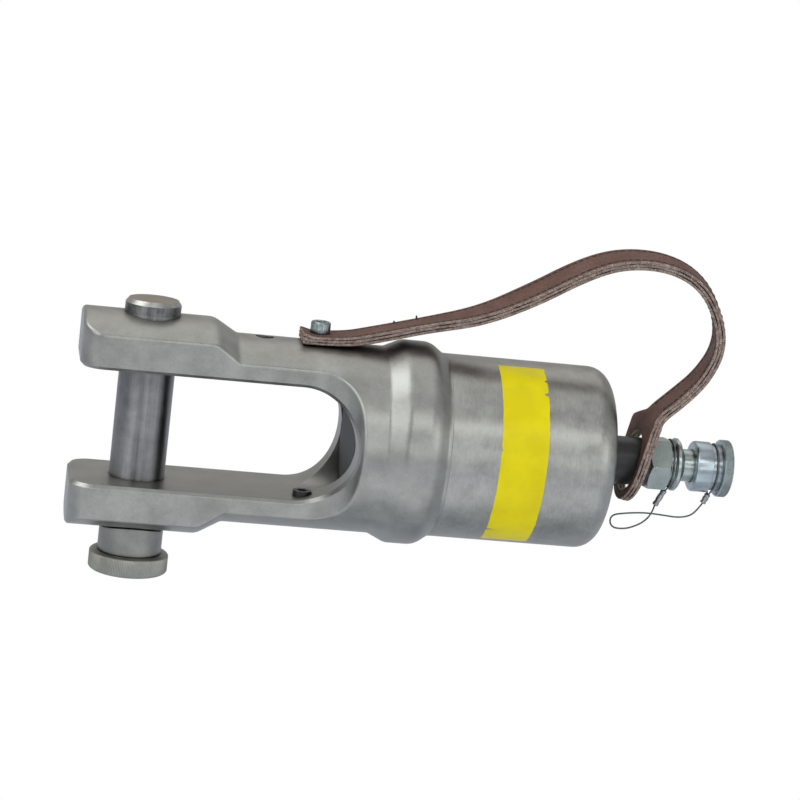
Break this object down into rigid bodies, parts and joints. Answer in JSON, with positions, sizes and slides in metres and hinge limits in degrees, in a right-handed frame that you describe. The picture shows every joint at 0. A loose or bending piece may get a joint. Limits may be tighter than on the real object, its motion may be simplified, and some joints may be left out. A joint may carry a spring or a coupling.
{
  "type": "hydraulic crimping head",
  "caption": "Hydraulic crimping head: forked steel clevis on a spring return cylinder, with a pull pin across the fork, a leather carrying strap and a capped quick coupler.",
  "frame": {"origin": "centre of the ram's face at rest, on the cylinder's axis", "axes": "+X along the cylinder towards the coupler, +Z along the die pin, away from its knob"},
  "size_m": [0.4359, 0.1336, 0.239],
  "materials": {
    "forged_steel": "bead blasted forging",
    "barrel_steel": "satin turned",
    "ground_steel": "ground",
    "turned_steel": "turned and knurled",
    "black_steel": "black oxide",
    "zinc_plate": "zinc plated",
    "bright_zinc": "bright zinc plated",
    "spring_steel": "drawn wire",
    "bronze": "turned",
    "rubber": "moulded",
    "ring_plastic": "machined",
    "leather": "oiled, stitched plies",
    "steel_wire": "stranded wire",
    "soft_aluminium": "swaged"
  },
  "bodies": {
    "head": {"fork_head": "forged_steel", "cylinder_barrel": "barrel_steel", "ram_guide_bush": "bronze", "ram_wiper": "rubber", "return_spring": "spring_steel", "die_guide_screw": "black_steel", "upper_set_screw": "black_steel", "strap_bolt": "zinc_plate", "carry_strap": "leather", "port_adapter": "black_steel", "port_seal": "rubber", "coupler_body": "zinc_plate", "poppet_guide": "bronze", "poppet_spring": "spring_steel", "coupler_loop": "steel_wire", "coupler_ferrule": "soft_aluminium", "lanyard_wire": "steel_wire"},
    "ram_assembly": {"ram": "ground_steel", "piston": "turned_steel", "piston_nut": "turned_steel", "piston_seal": "rubber", "piston_backup_ring": "ring_plastic", "piston_wear_ring": "ring_plastic"},
    "die_pin_assembly": {"die_pin": "ground_steel", "pin_knob": "turned_steel", "knob_screw": "black_steel", "pin_drag_ring": "rubber"},
    "dust_cap_assembly": {"dust_cap": "bright_zinc", "cap_grip_ring": "rubber", "cap_seal": "rubber", "cap_loop": "steel_wire", "cap_ferrule": "soft_aluminium"},
    "valve_poppet": {"coupler_poppet": "ground_steel"}
  },
  "joints": [
    {"name": "ram_slide", "type": "slide", "parent": "head", "child": "ram_assembly", "axis": [-1, 0, 0], "range_m": [0, 0.026], "stiffness_N_per_m": 6600, "springref_m": -0.03, "deforming": ["return_spring"]},
    {"name": "pin_pull", "type": "slide", "parent": "head", "child": "die_pin_assembly", "axis": [0, 0, -1], "range_m": [0, 0.155]},
    {"name": "cap_pull", "type": "slide", "parent": "head", "child": "dust_cap_assembly", "axis": [1, 0, 0], "range_m": [0, 0.06], "deforming": ["lanyard_wire"]},
    {"name": "poppet_slide", "type": "slide", "parent": "head", "child": "valve_poppet", "axis": [-1, 0, 0], "range_m": [0, 0.004], "stiffness_N_per_m": 1500, "springref_m": -0.004, "deforming": ["poppet_spring"]}
  ]
}
